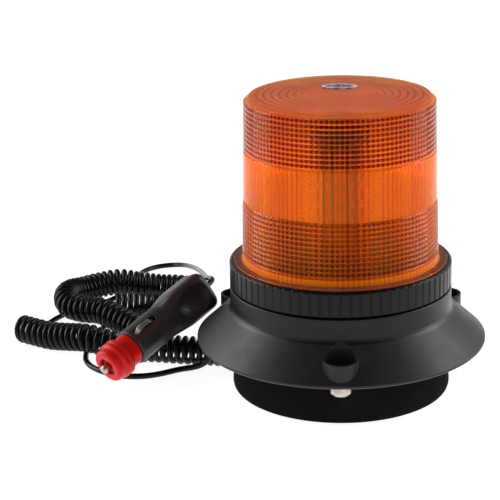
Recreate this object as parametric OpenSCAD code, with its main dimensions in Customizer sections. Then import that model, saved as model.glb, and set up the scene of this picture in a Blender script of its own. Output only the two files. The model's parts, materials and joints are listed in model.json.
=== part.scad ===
// Amber LED warning beacon on a magnetic base, with a curly lead and a lighter plug.
// Origin: centre of the magnet boot's underside. +Z up, cord and plug towards -X.

/* [Lens] */
// Height of the lens top above the ground face
lens_top = 155; // [150:1:165]
// Radius of the lens at its top edge
lens_r_top = 48; // [46:0.5:49]
// Radius of the lens just above its flange
lens_r_low = 50; // [49:0.5:51]
// Wall thickness of the lens
lens_wall = 2.6; // [2:0.1:3.2]
// Pitch of the horizontal ridges
ridge_pitch = 2.65; // [2.4:0.05:3.2]

/* [Lock ring] */
// Number of grip ribs on the lock ring
ring_ribs = 72; // [36:12:96]
// Outside radius over the ribs
ring_r = 57.2; // [57:0.1:58]

/* [Base] */
// Outside radius of the skirt
skirt_r = 75; // [74:0.5:78]
// Radius of the smooth neck under the ring
neck_r = 57.3; // [57:0.1:58]
// Pitch circle diameter of the three fixing bosses
boss_pcd = 130; // [129:0.5:131]
// Outside radius of a fixing boss
boss_r = 8.6; // [8:0.1:9]

/* [Magnet] */
// Largest radius of the rubber magnet boot
boot_r = 56.8; // [56:0.1:57]
// Height of the boot
boot_h = 24; // [23.5:0.1:24.5]

/* [LED tower] */
// Height of the heat sink column
tower_h = 74; // [60:1:80]
// Number of LED rows on each board
led_rows = 7; // [4:1:8]

/* [Plug] */
// Radius of the plug barrel
barrel_r = 10; // [9.8:0.1:10.2]
// Length of the plug from the cap face to the handle end
plug_len = 76; // [74:1:80]
// Travel of the spring-loaded centre pin
pin_travel = 2.5; // [2:0.5:3]

/* [Cord] */
// Outside diameter of the cable
cable_d = 3.2; // [3:0.1:3.4]
// Outside diameter of the curly part
coil_d = 16; // [15.5:0.1:16.5]

/* [Hidden] */
$fn = 96;

// Heights of the stack above the ground face
floor_z = 30;
floor_top = 33;
collar_top = 64.8;
neck_top = 55.6;
ring_z = 56;
ring_top = 69.6;
flange_z = 65.4;
flange_h = 2.7;
shoulder_z = 70;
band3_z = 74.5;
band2_z = 101.5;
band1_z = 128;
deck_z = 57;
deck_h = 2.4;
board_z = 44;
board_h = 1.6;

// Radii of the nested round parts
cavity_r = 52.2;
wall_r = 55.5;
collar_r = 54.6;
flange_r = 55.8;
shoulder_r = 54.9;
run_gap = 0.05;
deck_r = 51.8;
board_r = 40;
deck_post_r = 46.5;
board_post_r = 34;
pot_r = 53;
boot_floor = 1.5;
pot_top = 17;
magnet_r = 50.5;
pole_r = 20;
adapter_r = 50;
magnet_screw_r = 30;
tower_r = 12;
board_face = tower_r * cos(30) + 0.01;

// Fixing bosses
boss_top = 38;
boss_z = 27.6;
boss_angles = [150, 270, 30];
counterbore_r = 7.4;
ledge_z = 33.4;
head_pocket_r = 4.6;
head_pocket_z = 31;
screw_hole_r = 2.7;
sleeve_r = 5.3;
sleeve_z = 20.4;
sleeve_top = 29.5;
thread_r = 2.5;
thread_top = 26.2;
shank_r = 2.65;

// Cable gland: axis through the housing wall, pointing out and down
gland_angle = 172;
gland_tilt = 140;
gland_z = 35;
gland_reach = 12;
gland_seat = 3.9;
gland_inside = 13;
nut_seat = 7;
nut_h = 3;
nut_r = 5;
gland_r = 3.5;
gland_dir = [sin(gland_tilt) * cos(gland_angle), sin(gland_tilt) * sin(gland_angle), cos(gland_tilt)];
gland_root = [wall_r * cos(gland_angle), wall_r * sin(gland_angle), gland_z];
gland_exit = gland_root + gland_reach * gland_dir;

// Plug placement: tip face, heading and slope
plug_tip = [-122.4, -11.3, 12.2];
plug_yaw = 49;
plug_tilt = 19;
plug_dir = [cos(plug_tilt) * cos(plug_yaw), cos(plug_tilt) * sin(plug_yaw), sin(plug_tilt)];
relief_end = plug_len + 3;
plug_exit = plug_tip + relief_end * plug_dir;
contact_roll = 22;
grip_roll = 63;
nose_r = 6;
cap_len = 18;
lip_r = 5;
lip_h = 1.8;
rim_r = 10.4;
grip_start = 42;
slot_start = 20.3;
slot_len = 16.5;
slot_w = 3.8;
leaf_w = 3;
recess_x = 61.5;
screw_spots = [[52, 8.4], [72, 6.2]];

// Cord
cable_r = cable_d / 2;
coil_r = coil_d / 2;

base_route = concat([gland_exit, gland_exit + 4 * gland_dir], [
    [-67, 9.8, 16], [-69.5, 11.2, 9], [-74, 13.2, 3.6], [-79.5, 14.6, 1.6], [-84.5, 13.6, 1.6],
    [-89.5, 10.6, 1.6], [-95.5, 6.2, 1.6], [-102, 3.2, 1.6], [-109, 2, 1.6], [-115.5, 2.4, 1.6],
    [-122.5, 5, 1.6], [-129.5, 9.8, 1.6], [-136, 16.5, 1.6], [-140, 25.5, 1.6], [-141.2, 36, 1.6],
    [-141.5, 48, 1.6], [-140, 60, 1.6], [-138, 72, 1.6], [-135, 84, 1.6], [-132, 95, 1.6]]);

far_route = [[-132, 95, 8], [-118, 95, 8], [-106, 95.5, 8], [-96, 97.5, 8], [-88, 103, 8],
    [-85, 112, 8], [-88, 121, 8], [-97, 127, 8], [-109, 128.5, 8], [-122, 128.5, 9.6],
    [-134, 128, 11.6], [-146, 125, 10.4], [-155.5, 118, 10], [-161, 109, 11.4],
    [-161.5, 99, 11.6], [-158, 90, 10.2], [-149, 82.5, 10.4], [-138, 76.5, 11.6],
    [-127, 68.5, 9.8], [-117, 60, 8], [-108, 51, 8]];

link_route = [[-108, 51, 1.6], [-101, 54.5, 1.6], [-94.5, 51, 1.6], [-88, 43, 1.6],
    [-80, 38.5, 1.6], [-73, 37, 1.6], [-67.5, 32, 1.6], [-64.5, 26.5, 1.6], [-65.6, 21, 1.6]];

near_route = [[-66, 21.5, 8], [-78, 23, 8], [-90, 25, 8], [-102, 27, 8], [-114, 28, 8],
    [-127, 29.5, 9.6], [-139, 33, 11.6], [-151, 39.5, 9.8], [-162, 46, 8], [-172, 52, 8],
    [-180.5, 57.5, 8]];

plug_route = concat([[-180, 58, 1.6], [-173, 69.5, 1.6], [-171, 81, 1.6], [-167, 92, 1.6],
    [-160, 103, 1.6], [-151, 111, 1.6], [-142, 119, 1.6], [-136, 128, 1.6], [-132.5, 140, 1.6],
    [-130.5, 153, 1.6], [-128.5, 166, 1.6], [-125.8, 177, 1.6], [-121, 184, 1.6],
    [-114, 188.5, 1.6], [-106, 189, 2], [-99.9, 182, 4.1], [-95.2, 170, 7.4], [-90.9, 155, 11.5],
    [-86.7, 137, 16.2], [-83.2, 118, 21.4], [-80, 99, 26.3], [-77.4, 82, 30.5],
    [-75.2, 68, 34.3], [-73, 61.5, 36.6], [-71.3, 55.8, 38.2], [-70.6, 52.5, 39],
    [-70.7, 49.6, 39.2]],
    [plug_exit + 2.5 * plug_dir, plug_exit]);

// Sweep of a round tube along a list of points
function unit(v) = v / norm(v);
function tangent(p, i) = unit(p[min(i + 1, len(p) - 1)] - p[max(i - 1, 0)]);
function side_of(t) = unit(abs(t[2]) > 0.9 ? cross(t, [0, 1, 0]) : cross(t, [0, 0, 1]));
function carried(v, t) = unit(v - (v * t) * t);
function frames(p, i = 0, v = undef, out = []) =
    i == len(p) ? out :
    let (t = tangent(p, i), n = carried(i == 0 ? side_of(t) : v, t))
    frames(p, i + 1, n, concat(out, [[t, n, cross(t, n)]]));
function tube_points(p, r, sides) =
    let (f = frames(p))
    [for (i = [0 : len(p) - 1], k = [0 : sides - 1])
        let (a = 360 * (k + 0.5) / sides)
        p[i] + r * (cos(a) * f[i][1] + sin(a) * f[i][2])];
function tube_faces(rings, sides) = concat(
    [[for (k = [0 : sides - 1]) k]],
    [for (i = [0 : rings - 2], k = [0 : sides - 1])
        let (a = i * sides + k, b = i * sides + (k + 1) % sides)
        [a, a + sides, b + sides, b]],
    [[for (k = [sides - 1 : -1 : 0]) (rings - 1) * sides + k]]);

module tube(route, r, sides) {
    polyhedron(points = tube_points(route, r, sides), faces = tube_faces(len(route), sides),
        convexity = 12);
}

module ring_of(count, radius, start = 0) {
    for (i = [0 : count - 1])
        rotate([0, 0, start + 360 * i / count]) translate([radius, 0, 0]) children();
}

module at_bosses() {
    for (a = boss_angles)
        translate([boss_pcd / 2 * cos(a), boss_pcd / 2 * sin(a), 0]) children();
}

module at_gland() {
    translate(gland_root) rotate([0, 0, gland_angle]) rotate([0, gland_tilt, 0]) children();
}

module in_plug() {
    translate(plug_tip) rotate([0, -plug_tilt, plug_yaw]) children();
}

module along(x, len, r) {
    translate([x, 0, 0]) rotate([0, 90, 0]) cylinder(h = len, r = r);
}

// A machine screw: head up at z = 0, shank below
module screw(head_r, head_h, shank_r, shank_h) {
    difference() {
        union() {
            cylinder(h = head_h, r = head_r, $fn = 32);
            translate([0, 0, -shank_h]) cylinder(h = shank_h, r = shank_r, $fn = 32);
        }
        for (a = [0, 90]) rotate([0, 0, a])
            translate([-head_r * 0.6, -head_r * 0.13, head_h * 0.45])
                cube([head_r * 1.2, head_r * 0.26, head_h]);
    }
}

// Outside radius of the plain lens wall at height z
function lens_r(z) = lens_r_low + (lens_r_top - lens_r_low) * (z - shoulder_z) / (lens_top - shoulder_z);

// Zigzag outline of a ridged band from z0 up to z1
function ridges(z0, z1, depth) =
    let (n = floor((z1 - z0) / ridge_pitch), p = (z1 - z0) / n)
    [for (i = [0 : n - 1], k = [0, 1])
        let (z = z0 + p * (i + (k == 0 ? 0.15 : 0.62)))
        [lens_r(z) - (k == 0 ? depth : 0), z]];

module lens() color("darkorange", 0.6) {
    groove = 0.9;
    outline = concat(
        [[flange_r, flange_z], [flange_r, flange_z + flange_h],
            [shoulder_r, flange_z + flange_h], [shoulder_r, shoulder_z - 0.3],
            [shoulder_r - 0.3, shoulder_z], [lens_r(shoulder_z), shoulder_z + 0.2],
            [lens_r(band3_z), band3_z]],
        ridges(band3_z, band2_z, 0.6),
        [[lens_r(band2_z) - groove, band2_z], [lens_r(band2_z), band2_z + 1],
            [lens_r(band1_z), band1_z - 1], [lens_r(band1_z) - groove, band1_z]],
        ridges(band1_z + 0.6, lens_top - 2, 0.4),
        [[lens_r(lens_top), lens_top - 1.4], [lens_r(lens_top) - 1.2, lens_top],
            [0, lens_top]]);
    inner = [[0, lens_top - lens_wall], [lens_r_top - lens_wall - 1.2, lens_top - lens_wall],
        [lens_r(band3_z) - lens_wall - 1.2, band3_z], [lens_r_low - lens_wall - 1.2, flange_z]];
    rotate_extrude($fn = 180) polygon(concat(outline, inner));
}

module approval_plate() color("lightsteelblue")
    translate([0, 16.5, lens_top]) intersection() {
        linear_extrude(0.4) scale([1, 0.56]) circle(r = 9.6, $fn = 64);
        cube([20, 12, 2], center = true);
    }

module lock_ring() color([0.1, 0.1, 0.11]) {
    rib_h = 0.5;
    rib_w = 3;
    base_r = ring_r - rib_h;
    lug_z = flange_z + flange_h + 0.1;
    rotate_extrude($fn = 144) polygon([[base_r - 0.3, ring_z], [base_r, ring_z + 0.4],
        [base_r, ring_top - 0.8], [base_r - 0.9, ring_top], [shoulder_r + run_gap, ring_top],
        [shoulder_r + run_gap, lug_z], [flange_r + run_gap, lug_z],
        [flange_r + run_gap, flange_z - 0.4], [collar_r + 0.4, flange_z - 0.4],
        [collar_r + 0.4, ring_z]]);
    ring_of(ring_ribs, base_r - 0.1) translate([0, -rib_w / 2, ring_z + 0.5])
        cube([rib_h + 0.1, rib_w, ring_top - ring_z - 1.6]);
}

module lens_seal() color("dimgray")
    difference() {
        translate([0, 0, collar_top]) cylinder(h = 0.55, r = collar_r - 0.3, $fn = 144);
        translate([0, 0, collar_top - 1]) cylinder(h = 3, r = cavity_r + 0.3, $fn = 144);
    }

module gland_hole() {
    at_gland() {
        translate([0, 0, -gland_inside]) cylinder(h = 20, r = gland_r + run_gap, $fn = 48);
        translate([0, 0, -nut_seat - 14]) cylinder(h = 14, r = nut_r + 0.1, $fn = 48);
    }
}

module base_housing() color([0.13, 0.13, 0.14]) difference() {
    union() {
        rotate_extrude($fn = 180) polygon([[0, floor_z], [wall_r, floor_z], [wall_r, 42.3],
            [skirt_r - 2.1, 26.5], [skirt_r - 0.7, 26.5], [skirt_r, 27.2], [skirt_r, 28.2],
            [58.9, 42.8], [57.9, 44], [57.45, 45.2], [neck_r, 46.6], [neck_r, neck_top - 0.3],
            [neck_r - 0.3, neck_top], [collar_r, neck_top], [collar_r, collar_top],
            [cavity_r, collar_top], [cavity_r, floor_top], [0, floor_top]]);
        at_bosses() translate([0, 0, boss_z]) cylinder(h = boss_top - boss_z, r = boss_r);
        // Each boss carried on up to the underside of the skirt
        intersection() {
            at_bosses() translate([0, 0, boss_z + 1]) cylinder(h = 20, r = boss_r - 0.05);
            rotate_extrude($fn = 180) polygon([[56.2, 28], [73.2, 28], [57, 42.6], [56.2, 42.6]]);
        }
        ring_of(4, board_post_r, 45) translate([0, 0, floor_top - 0.5])
            cylinder(h = board_z - floor_top + 0.5, r = 3.4, $fn = 32);
        ring_of(4, deck_post_r) translate([0, 0, floor_top - 0.5])
            cylinder(h = deck_z - floor_top + 0.5, r = 3.8, $fn = 32);
        at_gland() translate([0, 0, -nut_seat]) cylinder(h = nut_seat + gland_seat, r = 6.4, $fn = 48);
    }
    at_bosses() {
        translate([0, 0, ledge_z]) cylinder(h = 30, r = counterbore_r, $fn = 64);
        translate([0, 0, head_pocket_z]) cylinder(h = 30, r = head_pocket_r, $fn = 64);
        translate([0, 0, boss_z - 2]) cylinder(h = 30, r = screw_hole_r, $fn = 48);
        translate([0, 0, boss_z - 2]) cylinder(h = sleeve_top - boss_z + 2, r = sleeve_r + run_gap);
    }
    ring_of(4, board_post_r, 45) translate([0, 0, board_z - 7]) cylinder(h = 8, r = 1.3, $fn = 32);
    ring_of(4, deck_post_r) translate([0, 0, deck_z - 9]) cylinder(h = 10, r = 1.3, $fn = 32);
    ring_of(3, magnet_screw_r, 90) translate([0, 0, floor_z - 1]) cylinder(h = 6, r = 2.25, $fn = 32);
    gland_hole();
}

module mounting_screws() color("dimgray") at_bosses()
    translate([0, 0, head_pocket_z]) screw(4.2, 2.4, shank_r, 4.2);

module mounting_sleeves() color("silver") at_bosses() difference() {
    union() {
        translate([0, 0, sleeve_z + 1]) cylinder(h = sleeve_top - sleeve_z - 1, r = sleeve_r);
        translate([0, 0, sleeve_z]) cylinder(h = 1, r1 = sleeve_r - 0.8, r2 = sleeve_r);
    }
    translate([0, 0, sleeve_z - 1]) cylinder(h = 12, r = thread_r, $fn = 48);
    translate([0, 0, thread_top]) cylinder(h = 5, r = screw_hole_r, $fn = 48);
}

module cable_gland() color([0.09, 0.09, 0.09]) at_gland() rotate_extrude($fn = 48)
    polygon([[cable_r, -gland_inside], [gland_r, -gland_inside], [gland_r, gland_seat],
        [4.6, gland_seat], [4.6, gland_seat + 1.5], [3.7, gland_seat + 2.3],
        [2.5, gland_reach], [cable_r, gland_reach]]);

module gland_nut() color([0.12, 0.12, 0.12]) at_gland() translate([0, 0, -nut_seat - nut_h])
    difference() {
        cylinder(h = nut_h, r = nut_r, $fn = 6);
        translate([0, 0, -1]) cylinder(h = nut_h + 2, r = gland_r + run_gap, $fn = 48);
    }

module magnet_boot() color([0.07, 0.07, 0.07]) rotate_extrude($fn = 180)
    polygon([[0, 0], [boot_r - 2.3, 0], [boot_r - 0.9, 0.5], [boot_r - 0.2, 1.6], [boot_r, 3],
        [boot_r - 0.3, 7], [boot_r - 1, 14], [boot_r - 1.3, 20], [boot_r - 1.3, boot_h - 0.8],
        [boot_r - 2.1, boot_h], [adapter_r + 0.1, boot_h], [adapter_r + 0.1, pot_top + 0.1],
        [pot_r + 0.1, pot_top + 0.1], [pot_r + 0.1, boot_floor], [0, boot_floor]]);

module magnet_pot() color("silver") difference() {
    translate([0, 0, boot_floor]) cylinder(h = pot_top - boot_floor, r = pot_r, $fn = 120);
    difference() {
        cylinder(h = pot_top - 3, r = magnet_r + 0.1, $fn = 120);
        cylinder(h = pot_top - 3, r = pole_r - 0.1, $fn = 64);
    }
    ring_of(3, magnet_screw_r, 90) translate([0, 0, pot_top - 5]) cylinder(h = 8, r = 2, $fn = 32);
}

module ring_magnet() color([0.2, 0.2, 0.21]) difference() {
    translate([0, 0, boot_floor]) cylinder(h = 12, r = magnet_r, $fn = 120);
    cylinder(h = pot_top, r = pole_r, $fn = 64);
}

module magnet_adapter() color([0.1, 0.1, 0.1]) difference() {
    translate([0, 0, pot_top]) cylinder(h = floor_z - pot_top, r = adapter_r, $fn = 120);
    ring_of(3, magnet_screw_r, 90) translate([0, 0, pot_top - 1]) cylinder(h = 20, r = 2.25, $fn = 32);
}

module magnet_screws() color("silver") ring_of(3, magnet_screw_r, 90)
    translate([0, 0, floor_top]) screw(3.9, 2.6, 1.95, floor_top - pot_top + 2);

module inner_deck() color([0.12, 0.12, 0.12]) difference() {
    translate([0, 0, deck_z]) cylinder(h = deck_h, r = deck_r, $fn = 120);
    ring_of(4, deck_post_r) translate([0, 0, deck_z - 1]) cylinder(h = 5, r = 1.8, $fn = 32);
    ring_of(3, 15) translate([0, 0, deck_z - 1]) cylinder(h = 5, r = 1.3, $fn = 32);
    translate([0, 0, deck_z - 1]) cylinder(h = 5, r = 4, $fn = 32);
}

module deck_screws() color("silver") ring_of(4, deck_post_r)
    translate([0, 0, deck_z + deck_h]) screw(3, 2, 1.25, 9);

module driver_board() color("darkgreen") difference() {
    translate([0, 0, board_z]) cylinder(h = board_h, r = board_r, $fn = 96);
    ring_of(4, board_post_r, 45) translate([0, 0, board_z - 1]) cylinder(h = 4, r = 1.6, $fn = 32);
}

module board_screws() color("silver") ring_of(4, board_post_r, 45)
    translate([0, 0, board_z + board_h]) screw(2.6, 1.8, 1.25, 7);

module board_capacitors() color("navy") for (p = [[12, 22], [-2, 24], [26, 10]])
    translate([p[0], p[1], board_z + board_h]) cylinder(h = 8.5, r = 4.5, $fn = 32);

module board_inductor() color("saddlebrown") translate([14, -16, board_z + board_h])
    difference() {
        cylinder(h = 6, r = 8, $fn = 48);
        translate([0, 0, -1]) cylinder(h = 8, r = 3.5, $fn = 32);
    }

module board_chips() color([0.08, 0.08, 0.08]) for (p = [[-8, 6, 8], [-6, -10, 6], [8, 2, 5]])
    translate([p[0], p[1], board_z + board_h + 0.8]) cube([p[2], p[2], 1.6], center = true);

module terminal_block() color("seagreen") translate([-33, 5, board_z + board_h]) difference() {
    translate([-5, -7.5, 0]) cube([9, 15, 9]);
    for (y = [-3.6, 3.6]) translate([-8, y, 3.4]) rotate([0, 90, 0]) cylinder(h = 9, r = 1.6, $fn = 32);
}

module heat_sink() color("gray") difference() {
    union() {
        translate([0, 0, deck_z + deck_h]) cylinder(h = 3, r = 19, $fn = 64);
        translate([0, 0, deck_z + deck_h]) cylinder(h = tower_h, r = tower_r, $fn = 6);
    }
    translate([0, 0, deck_z]) cylinder(h = tower_h + 10, r = 4, $fn = 32);
    ring_of(3, 15) translate([0, 0, deck_z]) cylinder(h = 10, r = 1.6, $fn = 32);
}

module tower_screws() color("silver") ring_of(3, 15)
    translate([0, 0, deck_z + deck_h + 3]) screw(2.4, 1.8, 1.25, 5);

module led_boards() color("honeydew") ring_of(6, board_face, 30)
    translate([0, -4.6, deck_z + deck_h + 5]) cube([1.2, 9.2, tower_h - 8]);

module led_chips() color("khaki") {
    pitch = (tower_h - 12) / led_rows;
    ring_of(6, board_face + 1.2, 30)
        for (i = [0 : led_rows - 1])
            translate([0, -2.5, deck_z + deck_h + 7.5 + pitch * i]) cube([1.5, 5, 5]);
}

module tower_cap() color([0.1, 0.1, 0.1])
    translate([0, 0, deck_z + deck_h + tower_h]) difference() {
        cylinder(h = 2.5, r = 13.5, $fn = 64);
        translate([0, 0, -1]) cylinder(h = 5, r = 1.5, $fn = 32);
    }

module supply_wires() color("firebrick") for (s = [-1, 1])
    tube([gland_root - (gland_inside + 0.2) * gland_dir, [-45.3, 6.4 + 0.9 * s, 46.2],
        [-43, 5 + 2.2 * s, 48.2], [-40.5, 5 + 3.2 * s, 49], [-36, 5 + 3.6 * s, 49]], 0.65, 8);

module cord_base_tail() color([0.06, 0.06, 0.06]) tube(base_route, cable_r, 8);
module cord_coil_far() color([0.05, 0.05, 0.05]) tube(far_route, coil_r, 12);
module cord_link() color([0.06, 0.06, 0.06]) tube(link_route, cable_r, 8);
module cord_coil_near() color([0.05, 0.05, 0.05]) tube(near_route, coil_r, 12);
module cord_plug_tail() color([0.06, 0.06, 0.06]) tube(plug_route, cable_r, 8);

// A slab across the grip with rounded corners: half width, half depth and corner radius
module grip_slice(x, len, wide, deep, corner) {
    for (y = [-1, 1], z = [-1, 1])
        translate([0, y * (wide - corner), z * (deep - corner)]) along(x, len, corner, $fn = 24);
}

// Handle outline: barrel that flares into a flattened grip
module handle_blank() {
    along(cap_len + 0.3, grip_start - cap_len + 2, barrel_r);
    rotate([grip_roll, 0, 0]) hull() {
        along(grip_start, 1, barrel_r + 0.1);
        grip_slice(grip_start + 16, 12, 11, 10.2, 5);
        grip_slice(plug_len - 3, 1.5, 9.6, 8.9, 5);
        grip_slice(plug_len - 1, 1, 7.5, 6.8, 4);
    }
}

// One half of the handle; side is +1 or -1 along the grip direction
module plug_half(side) difference() {
    intersection() {
        handle_blank();
        rotate([grip_roll, 0, 0]) translate([0, -20, side > 0 ? 0.02 : -20.02]) cube([90, 40, 20]);
    }
    along(cap_len - 1, 16, nose_r + run_gap);
    along(cap_len + 14, 36, lip_r);
    along(cap_len + 49, 12, 3.2);
    rotate([grip_roll, 0, 0]) translate([recess_x, 0, side * 18])
        scale([16, 9.4, 10.6]) sphere(r = 1, $fn = 36);
    for (roll = [contact_roll, contact_roll + 180]) rotate([roll, 0, 0])
        translate([slot_start, -slot_w / 2, 5.8]) cube([slot_len, slot_w, 8]);
    if (side < 0) for (spot = screw_spots) rotate([grip_roll, 0, 0])
        translate([spot[0], spot[1], -20]) cylinder(h = 21, r = 1.25, $fn = 32);
}

module plug_shell_front() color([0.12, 0.12, 0.13]) in_plug() plug_half(1);
module plug_shell_back() color([0.12, 0.12, 0.13]) in_plug() plug_half(-1);

module plug_strain_relief() color([0.08, 0.08, 0.08]) in_plug() rotate([0, 90, 0])
    rotate_extrude($fn = 48) polygon([[cable_r, 62], [3.15, 62], [3.15, plug_len + 0.3],
        [2.3, relief_end], [cable_r, relief_end]]);

module plug_screws() color("silver") in_plug() for (spot = screw_spots) rotate([grip_roll, 0, 0])
    translate([spot[0], spot[1], -5.5]) cylinder(h = 5, r = 1.2, $fn = 32);

module din_nose() color("firebrick") in_plug() difference() {
    along(2, 30, nose_r);
    along(4, 30, 3.4);
    along(1, 5, 2.4);
    for (roll = [contact_roll, contact_roll + 180]) rotate([roll, 0, 0])
        translate([slot_start - 1.8, -slot_w / 2, 4.4]) cube([13.6, slot_w, 4]);
}

module centre_pin() color("silver") in_plug() {
    along(-pin_travel, pin_travel + 4.5, 2.3);
    translate([-pin_travel, 0, 0]) rotate([0, -90, 0]) cylinder(h = 1, r1 = 2.3, r2 = 1.2);
    along(4.3, 1.5, 3.3);
}

module pin_spring() color("gray") in_plug() rotate([0, 90, 0])
    rotate_extrude($fn = 48) polygon([[2.3, 5.9], [3, 5.9], [3, 11.4], [2.3, 11.4]]);

module fuse_cap(x, mouth) {
    difference() {
        along(x, 4.5, 3.1);
        along(x + mouth, 4.5, 2.75);
    }
}

module fuse_caps() color("silver") in_plug() {
    fuse_cap(11.5, 1);
    fuse_cap(27, -1);
}

module fuse_tube() color("white", 0.6) in_plug() difference() {
    along(12.6, 17.8, 2.7);
    along(13.6, 15.8, 2);
}

// Sprung leaf that bows out through the barrel wall
module side_contact(roll) in_plug() rotate([roll, 0, 0]) translate([slot_start, leaf_w / 2, 0])
    rotate([90, 0, 0]) linear_extrude(leaf_w) polygon([[0.7, 8.1], [2.5, 8.9], [4.5, 10.2], [6.5, 10.9],
        [9.5, 11], [11.5, 10.5], [13.5, 9.3], [15.5, 8.1], [15.5, 7.5], [13.5, 8.7], [11.5, 9.9],
        [9.5, 10.4], [6.5, 10.3], [4.5, 9.6], [2.5, 8.3], [0.7, 7.5]]);

module side_contact_upper() color("silver") side_contact(contact_roll);
module side_contact_lower() color("silver") side_contact(contact_roll + 180);

module adapter_cap() color("red") in_plug() rotate([0, 90, 0]) rotate_extrude()
    polygon([[lip_r, 0], [8, 0], [9, 0.5], [9.35, 1.3], [9.35, 4.6], [9.9, 5.3], [rim_r, 5.9],
        [rim_r, 10.7], [9.9, 11.3], [9.1, 12], [8.8, 13], [8.8, cap_len - 0.3], [8.6, cap_len],
        [nose_r + run_gap, cap_len], [nose_r + run_gap, lip_h], [lip_r, lip_h]]);

lens();
approval_plate();
lock_ring();
lens_seal();
base_housing();
mounting_screws();
mounting_sleeves();
cable_gland();
gland_nut();
magnet_boot();
ring_magnet();
magnet_pot();
magnet_adapter();
magnet_screws();
inner_deck();
deck_screws();
driver_board();
board_screws();
board_capacitors();
board_inductor();
board_chips();
terminal_block();
heat_sink();
tower_screws();
led_boards();
led_chips();
tower_cap();
supply_wires();
cord_base_tail();
cord_coil_far();
cord_link();
cord_coil_near();
cord_plug_tail();
plug_shell_front();
plug_shell_back();
plug_strain_relief();
plug_screws();
din_nose();
centre_pin();
pin_spring();
fuse_tube();
fuse_caps();
side_contact_upper();
side_contact_lower();
adapter_cap();
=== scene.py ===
"""The looks of an amber LED warning beacon with a magnetic base, a curly lead and a lighter plug."""

import json
import math

import bmesh
import bpy
from mathutils import Matrix, Vector


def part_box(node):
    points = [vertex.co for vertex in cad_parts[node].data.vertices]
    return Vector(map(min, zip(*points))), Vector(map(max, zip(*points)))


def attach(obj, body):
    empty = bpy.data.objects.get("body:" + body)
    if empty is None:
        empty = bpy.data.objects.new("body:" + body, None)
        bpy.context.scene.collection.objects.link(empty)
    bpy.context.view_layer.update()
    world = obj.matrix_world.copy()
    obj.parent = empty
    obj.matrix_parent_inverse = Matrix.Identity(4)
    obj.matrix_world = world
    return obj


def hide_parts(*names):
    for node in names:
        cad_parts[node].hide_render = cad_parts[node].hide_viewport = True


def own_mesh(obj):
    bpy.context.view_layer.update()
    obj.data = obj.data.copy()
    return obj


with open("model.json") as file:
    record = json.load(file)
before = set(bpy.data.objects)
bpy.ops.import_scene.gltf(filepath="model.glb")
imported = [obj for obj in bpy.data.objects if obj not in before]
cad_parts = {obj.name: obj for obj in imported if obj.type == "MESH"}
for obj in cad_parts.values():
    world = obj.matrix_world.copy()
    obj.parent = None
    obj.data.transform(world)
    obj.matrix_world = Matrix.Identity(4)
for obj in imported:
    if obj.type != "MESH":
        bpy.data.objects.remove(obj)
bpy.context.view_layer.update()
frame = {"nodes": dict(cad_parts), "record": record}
NODES = frame["nodes"]
MM = 0.001
TAU = 2 * math.pi


def clamp(share):
    return min(1, max(0, share))


def ease(share):
    """From 0 to 1 with a soft start and a soft end."""
    return share * share * (3 - 2 * share)


# ---------------------------------------------------------------- camera

# Where the camera stands in metres, which way it looks in degrees, and its lens in millimetres.
# They were fitted to the ellipses of the lens, the ring, the skirt and the boot.
CAMERA_AT = Vector((0.0, -0.7831, 0.3272))
CAMERA_PITCH = 17.95
CAMERA_YAW = -3.4
CAMERA_ROLL = -1.3
FOCAL_LENGTH = 114.85
SENSOR_WIDTH = 36


def make_camera():
    pitch, yaw, roll = (math.radians(a) for a in (CAMERA_PITCH, CAMERA_YAW, CAMERA_ROLL))
    ahead = Vector((math.sin(yaw) * math.cos(pitch), math.cos(yaw) * math.cos(pitch), -math.sin(pitch)))
    level = Vector((math.cos(yaw), -math.sin(yaw), 0))
    above = level.cross(ahead)
    right = level * math.cos(roll) + above * math.sin(roll)
    up = above * math.cos(roll) - level * math.sin(roll)
    data = bpy.data.cameras.new("camera")
    data.lens = FOCAL_LENGTH
    data.sensor_width = SENSOR_WIDTH
    camera = bpy.data.objects.new("camera", data)
    bpy.context.scene.collection.objects.link(camera)
    turned = Matrix((right, up, -ahead)).transposed()
    camera.matrix_world = Matrix.Translation(CAMERA_AT) @ turned.to_4x4()
    bpy.context.scene.camera = camera


make_camera()


# ---------------------------------------------------------------- cord route

CABLE_R = 1.6 * MM
# Radius of the coil to the middle of the cable, and how far the coil is raised to clear the ground
HELIX_R = 6.4 * MM
COIL_LIFT = 0.1 * MM
FAR_TURNS = 62
NEAR_TURNS = 29.75
POINTS_PER_TURN = 18
# How many points of the route, to each side, the coil's direction is taken over
TANGENT_REACH = 4
# From LOWER_LEG of the far coil's route on, the pitch grows by WIDER, over WIDENING of the route
LOWER_LEG = 0.62
WIDER = 0.22
WIDENING = 0.1
# Straight stretches: where the cord leaves the gland and the near coil, and where it goes into the plug
STRAIGHT_OUT = 4 * MM
STRAIGHT_IN = 2.5 * MM
# Steps of the quarter circle from the coil's side to the ground, and rounds that ease a plain run's corners
DROP_STEPS = 6
EASING_ROUNDS = 24


def metres(points):
    return [Vector(p) * MM for p in points]


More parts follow.
